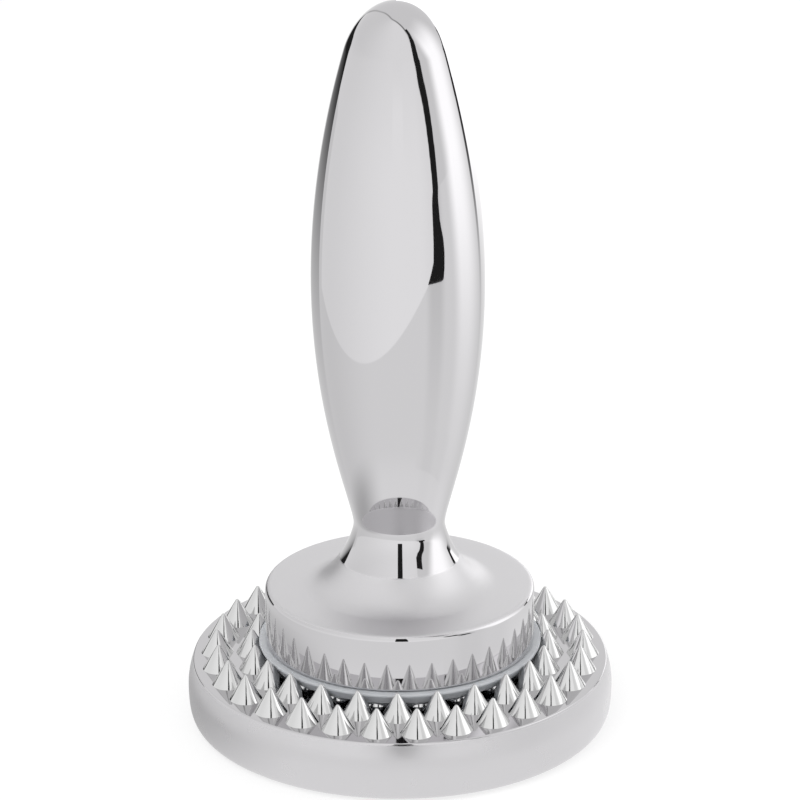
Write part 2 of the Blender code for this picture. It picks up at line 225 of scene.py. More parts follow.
def start_finish(name, colour, metallic):
    """A Principled material, its node tree, its shader and its Object coordinates."""
    material = bpy.data.materials.new(name)
    material.use_nodes = True
    tree = material.node_tree
    shader = tree.nodes["Principled BSDF"]
    shader.inputs["Base Color"].default_value = colour
    shader.inputs["Metallic"].default_value = metallic
    place = tree.nodes.new("ShaderNodeTexCoord").outputs["Object"]
    return material, tree, shader, place


def distance_from_axis(tree, place):
    """sqrt(x^2 + y^2), which is the lathe's radius, and z."""
    parts = add_node(tree, "ShaderNodeSeparateXYZ", Vector=place)
    flat = add_node(tree, "ShaderNodeCombineXYZ", X=parts.outputs["X"], Y=parts.outputs["Y"])
    length = add_node(tree, "ShaderNodeVectorMath", [("operation", "LENGTH")])
    tree.links.new(flat.outputs[0], length.inputs[0])
    return length.outputs["Value"], parts.outputs["Z"]


# %% Turning marks: noise that only changes across the marks
def turning_marks(tree, across, spacing):
    """Noise of one coordinate, so that it makes rings round the axis this far apart."""
    scaled = math_node(tree, "MULTIPLY", across, 1 / spacing)
    noise = add_node(tree, "ShaderNodeTexNoise", [("noise_dimensions", "1D")], Detail=3.0)
    tree.links.new(scaled, noise.inputs["W"])
    noise.inputs["Scale"].default_value = 1.0
    return noise.outputs["Fac"]


def soft_patches(tree, place, size):
    """Cloudy noise with patches about this size, for uneven polish and handling marks."""
    noise = add_node(tree, "ShaderNodeTexNoise", Vector=place, Scale=1 / size, Detail=2.0)
    return noise.outputs["Fac"]


def add_bump(tree, shader, height, depth):
    """Lets a height of 0 to 1 stand for this many metres of relief."""
    bump = add_node(tree, "ShaderNodeBump", Height=height, Distance=depth, Strength=1.0)
    tree.links.new(bump.outputs["Normal"], shader.inputs["Normal"])


# %% Mirror polish on the handle, going satin on the foot and the hub's top
MIRROR_ROUGHNESS, SATIN_ROUGHNESS, POLISH_ENDS = 0.03, 0.46, 0.0353
SATIN_COLOUR = (0.68, 0.672, 0.685, 1.0)
HANDLE_PATCH, HUB_MARKS, HUB_MARK_DEPTH = 0.012, 0.00025, 0.0000015
handle_steel, tree, shader, place = start_finish("mirror_and_satin_steel", STEEL_COLOUR, 1.0)
radius, height = distance_from_axis(tree, place)
below_waist = between(tree, height, POLISH_ENDS + 0.0003, POLISH_ENDS - 0.0003)
above_edge = between(tree, height, HUB_TOP - 0.0005, HUB_TOP - 0.0001)
satin = math_node(tree, "MULTIPLY", below_waist, above_edge)
polish = between(tree, soft_patches(tree, place, HANDLE_PATCH), 0.3, 0.7,
                 MIRROR_ROUGHNESS - 0.01, MIRROR_ROUGHNESS + 0.01)
roughness = add_node(tree, "ShaderNodeMix", [("data_type", "FLOAT")])
tree.links.new(satin, roughness.inputs[0])
tree.links.new(polish, roughness.inputs[2])
roughness.inputs[3].default_value = SATIN_ROUGHNESS
tree.links.new(roughness.outputs[0], shader.inputs["Roughness"])
tone = add_node(tree, "ShaderNodeMix", [("data_type", "RGBA")])
tree.links.new(satin, tone.inputs[0])
tone.inputs[6].default_value = STEEL_COLOUR
tone.inputs[7].default_value = SATIN_COLOUR
tree.links.new(tone.outputs[2], shader.inputs["Base Color"])
marks = math_node(tree, "MULTIPLY", turning_marks(tree, radius, HUB_MARKS), satin)
add_bump(tree, shader, marks, HUB_MARK_DEPTH)
print("finish:", handle_steel.name)

# %% Satin on the disc's side and mirror polish on its faces
FACE_ROUGHNESS, SIDE_ROUGHNESS = 0.05, (0.27, 0.33)
DISC_PATCH, SIDE_MARKS, SIDE_MARK_DEPTH = 0.006, 0.00012, 0.0000012
side_steel, tree, shader, place = start_finish("satin_disc_steel", STEEL_COLOUR, 1.0)
radius, height = distance_from_axis(tree, place)
on_side = math_node(tree, "MULTIPLY", between(tree, height, PLATE_HEIGHT - 0.0002, PLATE_HEIGHT - 0.0006),
                    between(tree, height, 0.0, 0.0004))
patches = between(tree, soft_patches(tree, place, DISC_PATCH), 0.3, 0.7, *SIDE_ROUGHNESS)
roughness = add_node(tree, "ShaderNodeMix", [("data_type", "FLOAT")])
tree.links.new(on_side, roughness.inputs[0])
roughness.inputs[2].default_value = FACE_ROUGHNESS
tree.links.new(patches, roughness.inputs[3])
tree.links.new(roughness.outputs[0], shader.inputs["Roughness"])
marks = math_node(tree, "MULTIPLY", turning_marks(tree, height, SIDE_MARKS), on_side)
add_bump(tree, shader, marks, SIDE_MARK_DEPTH)

SPIKE_COLOUR, SPIKE_ROUGHNESS, SPIKE_PATCH = (0.68, 0.68, 0.68, 1.0), (0.03, 0.07), 0.002
spike_steel, tree, shader, place = start_finish("polished_spike_steel", SPIKE_COLOUR, 1.0)
uneven = between(tree, soft_patches(tree, place, SPIKE_PATCH), 0.3, 0.7, *SPIKE_ROUGHNESS)
tree.links.new(uneven, shader.inputs["Roughness"])
print("finishes:", side_steel.name, "and", spike_steel.name)

# %% Silicone and machined steel
SILICONE_COLOUR, PALE_SILICONE = (0.66, 0.68, 0.71, 1.0), (0.75, 0.77, 0.80, 1.0)
SILICONE_ROUGHNESS, SILICONE_PATCH = (0.30, 0.42), 0.004
silicone, tree, shader, place = start_finish("translucent_silicone", SILICONE_COLOUR, 0.0)
haze = soft_patches(tree, place, SILICONE_PATCH)
tint = add_node(tree, "ShaderNodeMix", [("data_type", "RGBA")])
tree.links.new(haze, tint.inputs[0])
tint.inputs[6].default_value = SILICONE_COLOUR
tint.inputs[7].default_value = PALE_SILICONE
tree.links.new(tint.outputs[2], shader.inputs["Base Color"])
tree.links.new(between(tree, haze, 0.3, 0.7, *SILICONE_ROUGHNESS), shader.inputs["Roughness"])
shader.inputs["Subsurface Weight"].default_value = 0.35
shader.inputs["Subsurface Radius"].default_value = (1.0, 1.0, 1.0)
shader.inputs["Subsurface Scale"].default_value = 0.001
shader.inputs["IOR"].default_value = 1.41
shader.inputs["Transmission Weight"].default_value = 0.25

MACHINED_COLOUR, MACHINED_ROUGHNESS = (0.56, 0.555, 0.56, 1.0), (0.18, 0.32)
CUT_MARKS, CUT_DEPTH = 0.0001, 0.000002
machined, tree, shader, place = start_finish("machined_steel", MACHINED_COLOUR, 1.0)
radius, height = distance_from_axis(tree, place)
marks = turning_marks(tree, math_node(tree, "ADD", radius, height), CUT_MARKS)
tree.links.new(between(tree, marks, 0.2, 0.8, *MACHINED_ROUGHNESS), shader.inputs["Roughness"])
add_bump(tree, shader, marks, CUT_DEPTH)
print("finishes:", silicone.name, "and", machined.name)

# %% [markdown]
# ## Handle and hub
# One casting: a spindle that fills the hand, a waist, a foot that sweeps out into the hub's top with
# no seam, and a hub that is hollow underneath, so that it clears the inner rings of spikes. The rows lie
# close where the outline curves fast, because a mirror shows the smallest jump in its surface.

# %% The handle's outline, from the crown down and back up inside the cup
def handle_outline():
    """The CAD outline's four Bezier stretches, hub, cup and stud hole, with finer steps."""
    crown, shoulder = (0, CROWN_TOP), (SHOULDER_RADIUS, SHOULDER_TOP)
    belly, neck, foot = (BELLY_RADIUS, BELLY_TOP), (NECK_RADIUS, NECK_TOP), (FOOT_RADIUS, HUB_TOP)
    rise, fall = (CROWN_TOP - SHOULDER_TOP) * 0.41, (SHOULDER_TOP - BELLY_TOP) * 0.29
    sine, cosine = math.sin(SHOULDER_LEAN), math.cos(SHOULDER_LEAN)
    rows = [np.array([crown])]
    rows.append(bezier(crown, (SHOULDER_RADIUS * 0.55, CROWN_TOP),
                       (SHOULDER_RADIUS - rise * sine, SHOULDER_TOP + rise * cosine), shoulder, 32))
    rows.append(bezier(shoulder, (SHOULDER_RADIUS + fall * sine, SHOULDER_TOP - fall * cosine),
                       (BELLY_RADIUS, BELLY_TOP + (SHOULDER_TOP - BELLY_TOP) * 0.375), belly, 40))
    rows.append(bezier(belly, (BELLY_RADIUS, BELLY_TOP - (BELLY_TOP - NECK_TOP) * 0.56),
                       (NECK_RADIUS, NECK_TOP + (BELLY_TOP - NECK_TOP) * 0.083), neck, 56))
    rows.append(bezier(neck, (NECK_RADIUS, NECK_TOP - (NECK_TOP - HUB_TOP) * 0.23),
                       (FOOT_RADIUS - (FOOT_RADIUS - NECK_RADIUS) * 0.55, HUB_TOP), foot, 40))
    edge, rim = (HUB_RADIUS, HUB_TOP), (HUB_RADIUS, HUB_BOTTOM)
    arc = rounded(edge, foot, rim, HUB_EDGE_ROUND, 12)
    rows += [straight(foot, arc[0], 5)[:-1], arc, straight(arc[-1], rim, 6)]
    rim_inside, corner = (CUP_RADIUS, HUB_BOTTOM), (CUP_RADIUS, CUP_CEILING)
    post = (POST_RADIUS, CUP_CEILING)
    rows += [np.array([rim_inside]), rounded(corner, rim_inside, post, CUP_ROUND, 6), np.array([post])]
    rows.append(np.array([(POST_RADIUS, RING_BOTTOM), (STUD_HOLE_RADIUS, RING_BOTTOM),
                          (STUD_HOLE_RADIUS, STUD_TOP + HOLE_CLEARANCE),
                          (0, STUD_TOP + HOLE_CLEARANCE + STUD_HOLE_RADIUS * 0.6)]))
    return np.concatenate(rows).T


make_piece("handle_and_hub", [lathe(handle_outline(), ROUND_SIDES)], "handle", ["handle"],
           [handle_steel])

# %% [markdown]
# ## Disc and spikes
# The striking disc is a thick steel cheese with a bulging side. Its spikes are blunt cones in four
# rings, cast on with the disc. Each is a small lathe grid, moved to its place with numpy; they are
# rooted a little under the plate, so no gap can show at their feet.

# %% The disc's outline: spiked face, side, flat face and the hole for the insert
def disc_outline():
    """Two Bezier stretches meet at the widest height, and an arc rounds the edge of the spiked face."""
    above = PLATE_HEIGHT - WIDEST_HEIGHT
    inset = DISC_RADIUS - SPIKED_FACE_RADIUS
    edge, widest, flat = (SPIKED_FACE_RADIUS, PLATE_HEIGHT), (DISC_RADIUS, WIDEST_HEIGHT), (FLAT_FACE_RADIUS, 0)
    upper = bezier(edge, (SPIKED_FACE_RADIUS + inset * 0.35, PLATE_HEIGHT - above * 0.20),
                   (DISC_RADIUS, WIDEST_HEIGHT + above * 0.41), widest, 24)
    lower = bezier(widest, (DISC_RADIUS, WIDEST_HEIGHT * 0.05),
                   (FLAT_FACE_RADIUS + (DISC_RADIUS - FLAT_FACE_RADIUS) * 0.82, 0), flat, 32)
    mouth = (INSERT_HOLE_RADIUS, PLATE_HEIGHT)
    arc = rounded(edge, mouth, upper[2], DISC_EDGE_ROUND, 8)
    rows = [np.array([mouth]), straight(mouth, arc[0], 12)[:-1], arc, upper[3:], lower,
            straight(flat, (INSERT_HOLE_RADIUS, 0), 8)]
    return np.concatenate(rows).T


# %% One spike, and all of them in their rings
SPIKE_RADIUS, SPIKE_HEIGHT, SPIKE_TIP_ROUND, SPIKE_ROOT = 0.0034, 0.0053, 0.00045, 0.0004
SPIKE_RINGS = ((0.0165, 12), (0.0239, 18), (0.0313, 24), (0.0387, 30))
SPIKE_PHASE = math.radians(-1.0)


def spike_outline():
    """A straight flank tangent to a small ball of the tip's radius, whose top is the spike's height."""
    middle = SPIKE_HEIGHT - SPIKE_TIP_ROUND
    steep = math.atan2(middle, SPIKE_RADIUS) + math.asin(SPIKE_TIP_ROUND / math.hypot(SPIKE_RADIUS, middle))
    lean = np.linspace(math.pi / 2 - steep, math.pi / 2, 6)
    cap = np.stack((SPIKE_TIP_ROUND * np.cos(lean), middle + SPIKE_TIP_ROUND * np.sin(lean)))
    base = np.array([[SPIKE_RADIUS + SPIKE_ROOT / math.tan(steep)], [-SPIKE_ROOT]])
    share = np.array([0.45, 0.8])
    flank = base + (cap[:, :1] - base) * share
    underside = np.array([[0.0], [-SPIKE_ROOT]])
    radius, height = np.concatenate((underside, base, flank, cap), axis=1)
    radius[-1] = 0
    return radius, height + PLATE_HEIGHT


def spike_places():
    """Each ring is shared evenly by its spikes, and every other ring is turned by half a share."""
    places = []
    for ring, (radius, count) in enumerate(SPIKE_RINGS):
        turn = math.tau * (np.arange(count) + ring % 2 / 2) / count + SPIKE_PHASE
        places.append(around(radius, turn, 0.0))
    return np.concatenate(places)


points, faces = lathe(spike_outline(), SPIKE_SIDES)
spikes = [(points + place, faces) for place in spike_places()]
make_piece("spiked_disc", [lathe(disc_outline(), DISC_SIDES, loop=True)] + spikes, "disc", ["disc"],
           [side_steel, spike_steel], [0] + [1] * len(spikes))
print(len(spikes), "spikes in", len(SPIKE_RINGS), "rings")

# %% [markdown]
# ## Silicone ring
# A translucent ring lies in the valley between two rings of spikes, under the hub's rim. Its lip
# stands inside the hub's cup and its lower side is drawn in to fit between the spikes.

# %% The ring's outline
FIT_GAP, LIP_WALL, LIP_HEIGHT, FLANGE_REACH = 0.0003, 0.0009, 0.0022, 0.00146
RING_CORNERS = (0.0003, 0.0002, 0.0003, 0.00025, 0.0003, 0.0003, 0.0003, 0.0003)


def ring_outline():
    """A loop: lip, flange and the foot between the spikes, with every corner rounded."""
    slope = SPIKE_RADIUS / SPIKE_HEIGHT
    clear = SPIKE_RADIUS - slope * (RING_BOTTOM - PLATE_HEIGHT) + FIT_GAP * math.hypot(1, slope)
    lip_out, lip_top = CUP_RADIUS - FIT_GAP, RING_TOP + LIP_HEIGHT
    lip_in, flange = lip_out - LIP_WALL, HUB_RADIUS + FLANGE_REACH
    inner_toe = (SPIKE_RINGS[1][0] + clear, RING_BOTTOM)
    outer_toe = (SPIKE_RINGS[2][0] - clear, RING_BOTTOM)
    inner_knee = (lip_in, RING_BOTTOM + (inner_toe[0] - lip_in) / slope)
    outer_knee = (flange, RING_BOTTOM + (flange - outer_toe[0]) / slope)
    loop = [(lip_out, lip_top), (lip_out, RING_TOP), (flange, RING_TOP), outer_knee, outer_toe,
            inner_toe, inner_knee, (lip_in, lip_top)]
    rows = [rounded(corner, loop[i - 1], loop[(i + 1) % len(loop)], radius, 5)
            for i, (corner, radius) in enumerate(zip(loop, RING_CORNERS))]
    return np.concatenate(rows).T


make_piece("silicone_ring", [lathe(ring_outline(), ROUND_SIDES, loop=True)], "gasket", ["gasket"],
           [silicone])

# %% [markdown]
# ## Stud and insert
# A threaded stud fixed in the handle screws into a threaded insert in the disc. A thread is a
# surface whose radius depends on the height and on the turn: the wave climbs one pitch a turn.

# %% The thread's radius
THREAD_RADIUS, THREAD_PITCH, THREAD_GAP = 0.0060, 0.00175, 0.0003
THREAD_CORE = THREAD_RADIUS - 0.6134 * THREAD_PITCH
HALF_CREST, HALF_ROOT = 1 / 16, 1 / 8
THREAD_SIDES = 96


def thread_radius(height):
    """Flat crests an eighth of a pitch wide and roots a quarter wide, joined by straight flanks."""
    turn = np.linspace(0, 1, THREAD_SIDES, endpoint=False) - 0.25
    from_crest = np.abs(np.mod(height[:, None] / THREAD_PITCH - turn, 1) - 0.5)
    share = np.clip((from_crest - HALF_CREST) / (0.5 - HALF_ROOT - HALF_CREST), 0, 1)
    return THREAD_RADIUS + (THREAD_CORE - THREAD_RADIUS) * share


def thread_rows(top, bottom):
    """Heights with 20 rows to a pitch."""
    return np.linspace(top, bottom, int((top - bottom) / THREAD_PITCH * 20))


# %% The stud
STUD_TIP, THREAD_TOP, TIP_CHAMFER, END_CHAMFER, RUNOUT = 0.0030, 0.01405, 0.0016, 0.0008, 0.0009
shank = np.array([(0, STUD_TOP), (THREAD_RADIUS - END_CHAMFER, STUD_TOP),
                  (THREAD_RADIUS, STUD_TOP - END_CHAMFER), (THREAD_RADIUS, THREAD_TOP + 0.0001)])
heights = thread_rows(THREAD_TOP, STUD_TIP)
envelope = np.interp(heights, [STUD_TIP, STUD_TIP + TIP_CHAMFER, THREAD_TOP - RUNOUT, THREAD_TOP],
                     [THREAD_RADIUS - TIP_CHAMFER, THREAD_RADIUS, THREAD_RADIUS, THREAD_CORE])
threaded = np.minimum(envelope[:, None], thread_radius(heights))
turned = np.repeat(shank[:, :1], THREAD_SIDES, axis=1)
all_radii = np.concatenate((turned, threaded, np.zeros((1, THREAD_SIDES))))
all_heights = np.concatenate((shank[:, 1], heights, [STUD_TIP]))
make_piece("steel_stud", [lathe((all_radii, all_heights), THREAD_SIDES)], "handle", ["stud"],
           [machined], sharp_angle=50)

# %% The insert
INSERT_RADIUS, INSERT_TOP, INSERT_BOTTOM, CHAMFER = 0.0090, 0.0128, 0.0002, 0.0004
outside = np.array([(INSERT_RADIUS - CHAMFER, INSERT_TOP), (INSERT_RADIUS, INSERT_TOP - CHAMFER),
                    (INSERT_RADIUS, INSERT_BOTTOM + CHAMFER), (INSERT_RADIUS - CHAMFER, INSERT_BOTTOM)])
heights = thread_rows(INSERT_TOP, INSERT_BOTTOM)[::-1]
from_mouth = np.minimum(INSERT_TOP - heights, heights - INSERT_BOTTOM)
mouth = THREAD_RADIUS + THREAD_GAP + CHAMFER - from_mouth
inside = np.maximum(mouth[:, None], thread_radius(heights) + THREAD_GAP)
all_radii = np.concatenate((np.repeat(outside[:, :1], THREAD_SIDES, axis=1), inside))
all_heights = np.concatenate((outside[:, 1], heights))
make_piece("steel_insert", [lathe((all_radii, all_heights), THREAD_SIDES, loop=True)], "disc",
           ["thread_insert"], [machined], sharp_angle=50)

# %% [markdown]
# ## What polished steel reflects
# A mirror has no look of its own, so the room round it is built, as a product photographer builds it:
# a pale floor, a white paper sweep at the front left, a strip light at the right, a gap in the tent
# beside it, and a dark card at the back left. The cards are stage pieces that only glossy rays see. How
# bright each place is comes from an attribute, glow, that numpy works out per point. Directions are
# given as an azimuth, 0 towards the camera and growing to the right, and an elevation, in degrees.

# %% A card that glows by its own attribute
def studio_material(name):
    """Emission whose strength is the glow attribute, so that 1 is white."""
    material = bpy.data.materials.new(name)
    material.use_nodes = True
    tree = material.node_tree
    tree.nodes.clear()
    glow = add_node(tree, "ShaderNodeAttribute", [("attribute_name", "glow")])
    light = add_node(tree, "ShaderNodeEmission", Strength=glow.outputs["Fac"])
    output = tree.nodes.new("ShaderNodeOutputMaterial")
    tree.links.new(light.outputs[0], output.inputs["Surface"])
    return material, tree, light, output


card_material = studio_material("studio_card")[0]


def make_card(name, points, glow, material, shown_to_camera=False):
    """An open grid of points with a glow for each, marked as stage."""
    rows, columns = glow.shape
    index = np.arange(rows * columns).reshape(rows, columns)
    faces = np.stack((index[:-1, :-1], index[1:, :-1], index[1:, 1:], index[:-1, 1:]), axis=-1)
    mesh = bpy.data.meshes.new(name)
    mesh.from_pydata(points.reshape(-1, 3).tolist(), [], faces.reshape(-1, 4).tolist())
    attribute = mesh.attributes.new("glow", "FLOAT", "POINT")
    attribute.data.foreach_set("value", glow.astype(np.float32).ravel())
    mesh.materials.append(material)
    card = bpy.data.objects.new(name, mesh)
    bpy.context.scene.collection.objects.link(card)
    if not shown_to_camera:
        card.visible_camera = False
        card.visible_diffuse = False
        card.visible_shadow = False
        card.visible_transmission = False
        card.visible_volume_scatter = False
    print(f"{name}: glow from {glow.min():.2f} to {glow.max():.2f}")


def along(value, stops):
    """Straight lines between (place, value) stops."""
    places, values = zip(*stops)
    return np.interp(value, places, values)


def step_up(value, low, high):
    """3s^2 - 2s^3, where s runs from 0 at low to 1 at high."""
    share = np.clip((value - low) / (high - low), 0, 1)
    return share * share * (3 - 2 * share)


# %% The white paper sweep's glow
def sweep_glow(azimuth, elevation):
    """1 at its left edge, 1.18 in front, a little less beside the gap, and 7% less towards the top."""
    across = 1.0 + 0.18 * step_up(azimuth, -115, 0) - 0.07 * step_up(azimuth, 28, 52)
    return across * (1 - 0.07 * step_up(elevation, 0, 24))


# %% The strip light behind the tent's right wall
TENT_GLOW, STRIP_GLOW, DARK_GLOW = 0.91, 1.65, 0.02


def strip_share(azimuth, elevation):
    """Soft edges at the left and the right, which lean to the left with height, and a soft top."""
    left, right = 80 - 0.5 * elevation, 117 - 0.25 * elevation
    sides = step_up(azimuth, left - 9, left + 9) * (1 - step_up(azimuth, right - 20, right + 20))
    return sides * (1 - step_up(elevation, 20, 66))


# %% Outlines on the dome
# The sweep's edge runs up beside the gap, over the top and down at the left; its third number says how
# dark its shadow line is. The gap is given by its elevation and its left and right azimuth.
SWEEP_EDGE = np.array([(50.8, 0, 0), (49.5, 4.7, 0), (46.4, 10.3, 0), (41.9, 13.5, 0), (38, 18, 0),
                       (37.5, 30, 0), (39.1, 42, 0), (40, 54, 0.2), (38, 60, 0.8), (36, 64, 0.8),
                       (20, 75, 0.7), (-15, 81, 0.6), (-70, 80, 0.5), (-109, 76, 0.5), (-134, 61, 0.4),
                       (-141, 47, 0.3), (-149, 33, 0.3), (-155, 19, 0.4), (-161, 8, 0.3), (-163, 0, 0)])
GAP_HEIGHTS = (0, 4.7, 7.5, 10.3, 12, 13.5, 15, 18, 22, 30, 36, 42, 47, 54, 62)
GAP_LEFT = (50.8, 49.5, 48.4, 46.4, 44, 41.9, 40.6, 38, 37.7, 37.5, 38, 39.1, 39.7, 40, 37)
GAP_RIGHT = (60, 59.4, 58.6, 57.3, 55.2, 53.1, 52, 50.5, 49.5, 49.7, 51, 51.5, 50.5, 50, 47)
GAP_TOP = 28
# The dark card at the back left has its top given as (azimuth, elevation). The ribbon is a thin dark strip
# behind the camera, and the post is one at the back right. SMOOTHING rounds the corners of the sweep's edge.
CARD_TOP = ((-163, 8), (-156, 8), (-149, 9.5), (-142, 10), (-133.5, 10.4), (-128.6, 8.5), (-126.5, 4))
CARD_RIGHT = -127
RIBBON_LEFT, RIBBON_RIGHT, RIBBON_TOP = -4, 7, 54
POST_HALF_WIDTH, POST_TOP = 3.5, 14
SMOOTHING = 17


def direction(azimuth, elevation):
    """Unit vector of an azimuth and an elevation in degrees."""
    a, e = np.radians(azimuth), np.radians(elevation)
    return np.stack((np.sin(a) * np.cos(e), -np.cos(a) * np.cos(e), np.sin(e)), axis=-1)


def from_sweep_edge(azimuth, elevation):
    """Degrees from the sweep's edge, positive on the sweep, and the shadow's darkness there.

    The sign is that of the direction dotted with the cross product of the nearest two edge points.
    """
    corners = np.column_stack((direction(*SWEEP_EDGE[:, :2].T), SWEEP_EDGE[:, 2]))
    marks = np.concatenate([np.linspace(a, b, 16, endpoint=False) for a, b in zip(corners[:-1], corners[1:])])
    window = np.ones(SMOOTHING) / SMOOTHING
    padded = [np.pad(column, SMOOTHING // 2, mode="edge") for column in marks.T]
    marks = np.stack([np.convolve(column, window, "valid") for column in padded], axis=-1)
    edge = marks[:, :3] / np.linalg.norm(marks[:, :3], axis=1)[:, None]
    inward = np.cross(edge[:-1], edge[1:])
    looks = direction(azimuth, elevation).reshape(-1, 3)
    closeness = looks @ edge[:-1].T
    nearest = closeness.argmax(1)
    away = np.degrees(np.arccos(np.clip(closeness.max(1), -1, 1)))
    side = np.sign(np.einsum("ij,ij->i", looks, inward[nearest]))
    return (away * side).reshape(azimuth.shape), marks[nearest, 3].reshape(azimuth.shape)


# %% The dome: everything above the horizon
DOME_RADIUS, DOME_CENTRE, BACKDROP_GLOW = 3.0, 0.1, 1.75


def dome_glow(azimuth, elevation):
    """The tent and its strip light, the sweep in front of it, the white backdrop, and the dark shapes."""
    inside, darkness = from_sweep_edge(azimuth, elevation)
    on_sweep = step_up(inside, -0.4, 0.4)
    tent = TENT_GLOW + (STRIP_GLOW - TENT_GLOW) * strip_share(azimuth, elevation)
    glow = tent + (sweep_glow(azimuth, elevation) - tent) * on_sweep
    glow = glow * (1 - darkness * (1 - step_up(np.abs(inside), 0.5, 2.2)))
    post_at = 127.5 + 12 * step_up(elevation, 5, 14)
    backdrop = step_up(azimuth, post_at + 2.5, post_at + 4.5) * (1 - step_up(elevation, 11, 17))
    glow = glow + (BACKDROP_GLOW - glow) * backdrop
    card = on_sweep * step_up(along(azimuth, CARD_TOP) - elevation, -0.4, 0.4) * (azimuth < CARD_RIGHT)
    gap = (azimuth > np.interp(elevation, GAP_HEIGHTS, GAP_LEFT)) & (elevation < GAP_TOP)
    gap = gap & (azimuth < np.interp(elevation, GAP_HEIGHTS, GAP_RIGHT))
    post = (np.abs(azimuth - post_at) < POST_HALF_WIDTH) & (elevation < POST_TOP)
    ribbon = (azimuth > RIBBON_LEFT) & (azimuth < RIBBON_RIGHT) & (elevation < RIBBON_TOP)
    dark = np.maximum(card, gap | post | ribbon)
    return glow + (DARK_GLOW - glow) * dark


azimuth, elevation = np.meshgrid(np.linspace(-180, 180, 721), np.linspace(-1.9, 90, 185))
points = direction(azimuth, elevation) * DOME_RADIUS + np.array([0, 0, DOME_CENTRE])
make_card("studio_dome", points, dome_glow(azimuth, np.maximum(elevation, 0)), card_material)

# %% The paper sweep on the floor, and the gap beside it
SWEEP_CENTRE, SWEEP_RADIUS, FLOOR_END, PAPER_HEIGHT = 0.300, 0.600, 2.997, 0.0004
swing = np.radians(np.linspace(-75, 12, 175))
start = np.stack((SWEEP_CENTRE + SWEEP_RADIUS * np.sin(swing), SWEEP_CENTRE - SWEEP_RADIUS * np.cos(swing)))
reach = np.linspace(0, 1, 30)[:, None] ** 2
outer = FLOOR_END * start / np.hypot(*start)
plan = start[:, None, :] + reach * (outer - start)[:, None, :]
points = np.stack((plan[0], plan[1], np.full(plan[0].shape, PAPER_HEIGHT)), axis=-1)
paper_azimuth = np.degrees(np.arctan2(plan[0], -plan[1]))
make_card("paper_sweep", points, sweep_glow(paper_azimuth, np.zeros_like(paper_azimuth)), card_material)

GAP_START = 0.388
share, out = np.meshgrid(np.linspace(0, 1, 24), np.linspace(0, 1, 60) ** 2)
far = GAP_START + out * (FLOOR_END - GAP_START)
left = along(far, [(GAP_START, 38.9), (0.417, 41.4), (0.45, 43.8), (0.51, 47), (0.68, 47.8), (1.7, 48.5),
                   (FLOOR_END, 50.5)])
right = along(far, [(GAP_START, 57.7), (0.394, 61), (0.45, 62.7), (0.55, 63.4), (0.68, 62.5), (0.83, 60.2),
                    (1.0, 58.8), (1.7, 58.2), (FLOOR_END, 59.8)])
turn = np.radians(left + share * (right - left))
make_card("tent_gap", around(far, turn, 2 * PAPER_HEIGHT), np.full(far.shape, DARK_GLOW), card_material)

# %% [markdown]
# ## Floor
# To the camera the floor is white paper that keeps a soft shadow of the mallet. In the steel it is
# the same paper, a little darker to the left and the back and brighter by the strip light.

# %% The floor's glow by azimuth and distance
def mirrored(distance, size):
    """d^2 / (d^2 + size^2): paper shows more of what stands behind it the flatter it is seen."""
    return distance ** 2 / (distance ** 2 + size ** 2)


def floor_glow(azimuth, distance):
    """White in front, greyer at the sides and the back, with the strip and the dark shapes mirrored.

    Close to the disc it is darker at the left, which darkens the left of the disc's side.
    """
    glow = 1.0 - 0.14 * step_up(-azimuth, 30, 115) - 0.14 * step_up(azimuth, 95, 145)
    out = mirrored(distance, 0.45)
    glow = glow + (STRIP_GLOW - glow) * strip_share(azimuth - 6 * (1 - out), 0) * mirrored(distance, 0.32)
    by_gap = step_up(azimuth, 34, 46) * (1 - step_up(azimuth, 54, 66))
    glow = glow * (1 - 0.22 * by_gap * mirrored(distance, 0.20))
    far_out = mirrored(distance ** 2, 0.25)
    post_at = 142 - 14 * out
    glow = glow + (BACKDROP_GLOW - glow) * step_up(azimuth, post_at + 2, post_at + 4) * far_out
    post = 0.97 * far_out * step_up(azimuth, post_at - 4, post_at - 3)
    post = post * (1 - step_up(azimuth, post_at + 2.5, post_at + 3.5))
    blur = along(distance, [(0.14, 4.0), (0.32, 0.4)])
    card_right = CARD_RIGHT + 4 * (1 - out)
    card = step_up(azimuth, -166, -158) * (1 - step_up(azimuth, card_right - blur, card_right + blur))
    by_disc = (1 - step_up(distance, 0.060, 0.085)) * (0.40 * step_up(-azimuth, 30, 90) - 0.06)
    return glow * (1 - 0.97 * card * mirrored(distance, 0.48)) * (1 - post) * (1 - by_disc)


floor_material, tree, glowing, output = studio_material("pale_floor")
rays = tree.nodes.new("ShaderNodeLightPath")
paper = add_node(tree, "ShaderNodeBsdfDiffuse", Color=(0.45, 0.45, 0.45, 1.0))
white = add_node(tree, "ShaderNodeEmission", Strength=0.62)
seen = tree.nodes.new("ShaderNodeAddShader")
tree.links.new(paper.outputs[0], seen.inputs[0])
tree.links.new(white.outputs[0], seen.inputs[1])
lit = add_node(tree, "ShaderNodeBsdfDiffuse", Color=(0.85, 0.85, 0.85, 1.0))
looked_at = math_node(tree, "MAXIMUM", rays.outputs["Is Camera Ray"], rays.outputs["Is Transmission Ray"])
first = add_node(tree, "ShaderNodeMixShader", Fac=looked_at)
tree.links.new(lit.outputs[0], first.inputs[1])
tree.links.new(seen.outputs[0], first.inputs[2])
second = add_node(tree, "ShaderNodeMixShader", Fac=rays.outputs["Is Glossy Ray"])
tree.links.new(first.outputs[0], second.inputs[1])
tree.links.new(glowing.outputs[0], second.inputs[2])
tree.links.new(second.outputs[0], output.inputs["Surface"])

